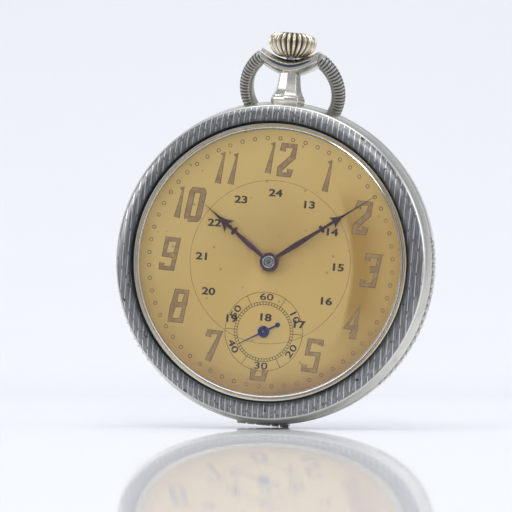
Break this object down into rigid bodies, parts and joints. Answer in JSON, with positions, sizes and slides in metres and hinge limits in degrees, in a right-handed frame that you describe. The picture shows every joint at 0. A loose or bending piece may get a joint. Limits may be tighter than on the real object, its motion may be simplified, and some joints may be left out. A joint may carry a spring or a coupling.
{
  "type": "open face pocket watch",
  "caption": "Open face stem-wound pocket watch with small seconds: hinged back and dust cover, swinging bow, pull-out crown, geared lever movement and coupled hands.",
  "frame": {"origin": "centre of the back cover's outer flat face; the hands turn on the Y axis", "axes": "+Z to 12 o'clock, +X to 3 o'clock seen from the front, +Y out of the back (the dial faces -Y)"},
  "size_m": [0.049, 0.0131, 0.0597],
  "materials": {
    "case_silver": "polished silver, tarnished in the recesses",
    "bezel_niello": "dark oxidised silver with bright inlaid lines",
    "crown_silver": "worn warm silver plate",
    "crystal_glass": "clear domed crystal",
    "dial_gilt": "matt aged gilt",
    "movement_nickel": "nickelled, striped",
    "wheel_brass": "gilt brass",
    "polished_steel": "polished steel",
    "hand_steel": "purple heat-tempered steel",
    "blue_steel": "blue heat-tempered steel",
    "ruby": "polished red stone"
  },
  "bodies": {
    "case_and_movement": {"back_hinge_pin": "polished_steel", "balance_cap_jewel": "ruby", "balance_cock": "movement_nickel", "balance_cock_screw": "polished_steel", "barrel_bridge": "movement_nickel", "barrel_bridge_screw_left": "polished_steel", "barrel_bridge_screw_right": "polished_steel", "bezel": "bezel_niello", "case_middle": "case_silver", "case_screw_left": "polished_steel", "case_screw_right": "polished_steel", "click_spring": "polished_steel", "crown_wheel_screw": "polished_steel", "crystal": "crystal_glass", "dial": "dial_gilt", "escape_wheel_jewel": "ruby", "fourth_wheel_jewel": "ruby", "hairspring": "blue_steel", "hairspring_stud": "polished_steel", "main_plate": "movement_nickel", "mainspring": "polished_steel", "pallet_cock": "movement_nickel", "pallet_cock_screw": "polished_steel", "pendant": "case_silver", "third_wheel_jewel": "ruby", "train_bridge": "movement_nickel", "train_bridge_screw_left": "polished_steel", "train_bridge_screw_lower": "polished_steel"},
    "centre_train": {"centre_wheel": "wheel_brass", "cannon_pinion": "polished_steel", "minute_hand": "hand_steel"},
    "third_train": {"third_wheel": "wheel_brass"},
    "fourth_train": {"fourth_wheel": "wheel_brass", "seconds_hand": "blue_steel"},
    "escape_train": {"escape_wheel": "polished_steel"},
    "barrel_train": {"barrel_drum": "wheel_brass", "barrel_lid": "wheel_brass"},
    "minute_train": {"minute_wheel": "wheel_brass"},
    "hour_train": {"hour_wheel": "wheel_brass", "hour_hand": "hand_steel"},
    "setting_train": {"setting_wheel": "polished_steel"},
    "pallet_body": {"pallet_fork": "polished_steel"},
    "balance_body": {"balance_wheel": "wheel_brass", "balance_staff": "polished_steel"},
    "pinion_body": {"winding_pinion": "polished_steel"},
    "crown_wheel_body": {"crown_wheel": "polished_steel"},
    "ratchet_body": {"ratchet_wheel": "polished_steel", "ratchet_screw": "polished_steel", "barrel_arbor": "polished_steel"},
    "click_body": {"click": "polished_steel"},
    "crown_body": {"crown": "crown_silver", "winding_stem": "polished_steel"},
    "clutch_body": {"sliding_clutch": "polished_steel"},
    "setting_lever_body": {"setting_lever": "polished_steel"},
    "yoke_body": {"yoke": "polished_steel"},
    "regulator_body": {"regulator": "polished_steel"},
    "bow_body": {"bow": "case_silver"},
    "cover_body": {"back_cover": "case_silver"},
    "cuvette_body": {"cuvette": "case_silver"}
  },
  "joints": [
    {"name": "hands_turn", "type": "hinge", "parent": "case_and_movement", "child": "centre_train", "pos_m": [0, -0.005, 0], "axis": [0, 1, 0], "continuous": true},
    {"name": "third_wheel_turn", "type": "hinge", "parent": "case_and_movement", "child": "third_train", "pos_m": [-0.00261, -0.005, -0.00573], "axis": [0, 1, 0], "continuous": true},
    {"name": "seconds_turn", "type": "hinge", "parent": "case_and_movement", "child": "fourth_train", "pos_m": [0, -0.005, -0.0105], "axis": [0, 1, 0], "continuous": true},
    {"name": "escape_wheel_turn", "type": "hinge", "parent": "case_and_movement", "child": "escape_train", "pos_m": [0.004, -0.005, -0.01281], "axis": [0, 1, 0], "continuous": true},
    {"name": "barrel_turn", "type": "hinge", "parent": "case_and_movement", "child": "barrel_train", "pos_m": [-0.00465, -0.005, 0.00663], "axis": [0, 1, 0], "continuous": true},
    {"name": "minute_wheel_turn", "type": "hinge", "parent": "case_and_movement", "child": "minute_train", "pos_m": [0.00199, -0.007, 0.00392], "axis": [0, 1, 0], "continuous": true},
    {"name": "hour_hand_turn", "type": "hinge", "parent": "case_and_movement", "child": "hour_train", "pos_m": [0, -0.007, 0], "axis": [0, 1, 0], "continuous": true},
    {"name": "setting_wheel_turn", "type": "hinge", "parent": "case_and_movement", "child": "setting_train", "pos_m": [0, -0.007, 0.0099], "axis": [0, 1, 0], "continuous": true},
    {"name": "pallet_rock", "type": "hinge", "parent": "case_and_movement", "child": "pallet_body", "pos_m": [0.00671, -0.005, -0.01044], "axis": [0, 1, 0], "range_deg": [-3, 3]},
    {"name": "balance_swing", "type": "hinge", "parent": "case_and_movement", "child": "balance_body", "pos_m": [0.0102, -0.004, -0.0074], "axis": [0, 1, 0], "range_deg": [-270, 270]},
    {"name": "crown_turn", "type": "hinge", "parent": "case_and_movement", "child": "pinion_body", "pos_m": [0, -0.0052, 0.0176], "axis": [0, 0, 1], "continuous": true},
    {"name": "crown_wheel_turn", "type": "hinge", "parent": "case_and_movement", "child": "crown_wheel_body", "pos_m": [0, -0.0026, 0.0142], "axis": [0, 1, 0], "continuous": true},
    {"name": "ratchet_turn", "type": "hinge", "parent": "case_and_movement", "child": "ratchet_body", "pos_m": [-0.00465, -0.0026, 0.00663], "axis": [0, 1, 0], "continuous": true},
    {"name": "click_lift", "type": "hinge", "parent": "case_and_movement", "child": "click_body", "pos_m": [0.00212, -0.0026, 0.00417], "axis": [0, 1, 0], "range_deg": [-8, 8]},
    {"name": "crown_pull", "type": "slide", "parent": "pinion_body", "child": "crown_body", "axis": [0, 0, 1], "range_m": [0, 0.001]},
    {"name": "clutch_slide", "type": "slide", "parent": "pinion_body", "child": "clutch_body", "axis": [0, 0, 1], "range_m": [-0.001, 0]},
    {"name": "setting_lever_swing", "type": "hinge", "parent": "case_and_movement", "child": "setting_lever_body", "pos_m": [0.0042, -0.0066, 0.0176], "axis": [0, 1, 0], "range_deg": [0, 14]},
    {"name": "yoke_swing", "type": "hinge", "parent": "case_and_movement", "child": "yoke_body", "pos_m": [-0.0056, -0.0066, 0.017], "axis": [0, 1, 0], "range_deg": [0, 11]},
    {"name": "regulator_turn", "type": "hinge", "parent": "case_and_movement", "child": "regulator_body", "pos_m": [0.0102, -0.0022, -0.0074], "axis": [0, 1, 0], "range_deg": [-15, 15]},
    {"name": "bow_swing", "type": "hinge", "parent": "case_and_movement", "child": "bow_body", "pos_m": [0, -0.0052, 0.0311], "axis": [1, 0, 0], "range_deg": [0, 285]},
    {"name": "back_cover_swing", "type": "hinge", "parent": "case_and_movement", "child": "cover_body", "pos_m": [0, -0.00235, -0.0242], "axis": [-1, 0, 0], "range_deg": [0, 100]},
    {"name": "cuvette_swing", "type": "hinge", "parent": "case_and_movement", "child": "cuvette_body", "pos_m": [0, -0.00235, -0.0242], "axis": [-1, 0, 0], "range_deg": [0, 85]}
  ],
  "couplings": [
    {"joint": "third_wheel_turn", "follows": "hands_turn", "ratio": -8},
    {"joint": "seconds_turn", "follows": "hands_turn", "ratio": 60},
    {"joint": "escape_wheel_turn", "follows": "hands_turn", "ratio": -600},
    {"joint": "barrel_turn", "follows": "hands_turn", "ratio": -0.125},
    {"joint": "minute_wheel_turn", "follows": "hands_turn", "ratio": -0.33333},
    {"joint": "hour_hand_turn", "follows": "hands_turn", "ratio": 0.083333},
    {"joint": "setting_wheel_turn", "follows": "hands_turn", "ratio": 0.36364},
    {"joint": "crown_wheel_turn", "follows": "crown_turn", "ratio": 0.51852},
    {"joint": "ratchet_turn", "follows": "crown_turn", "ratio": -0.31818},
    {"joint": "clutch_slide", "follows": "crown_pull", "ratio": -1},
    {"joint": "setting_lever_swing", "follows": "crown_pull", "rad_per_m": 237.36},
    {"joint": "yoke_swing", "follows": "crown_pull", "rad_per_m": 178.02},
    {"joint": "cuvette_swing", "follows": "back_cover_swing", "ratio": 0.85}
  ]
}
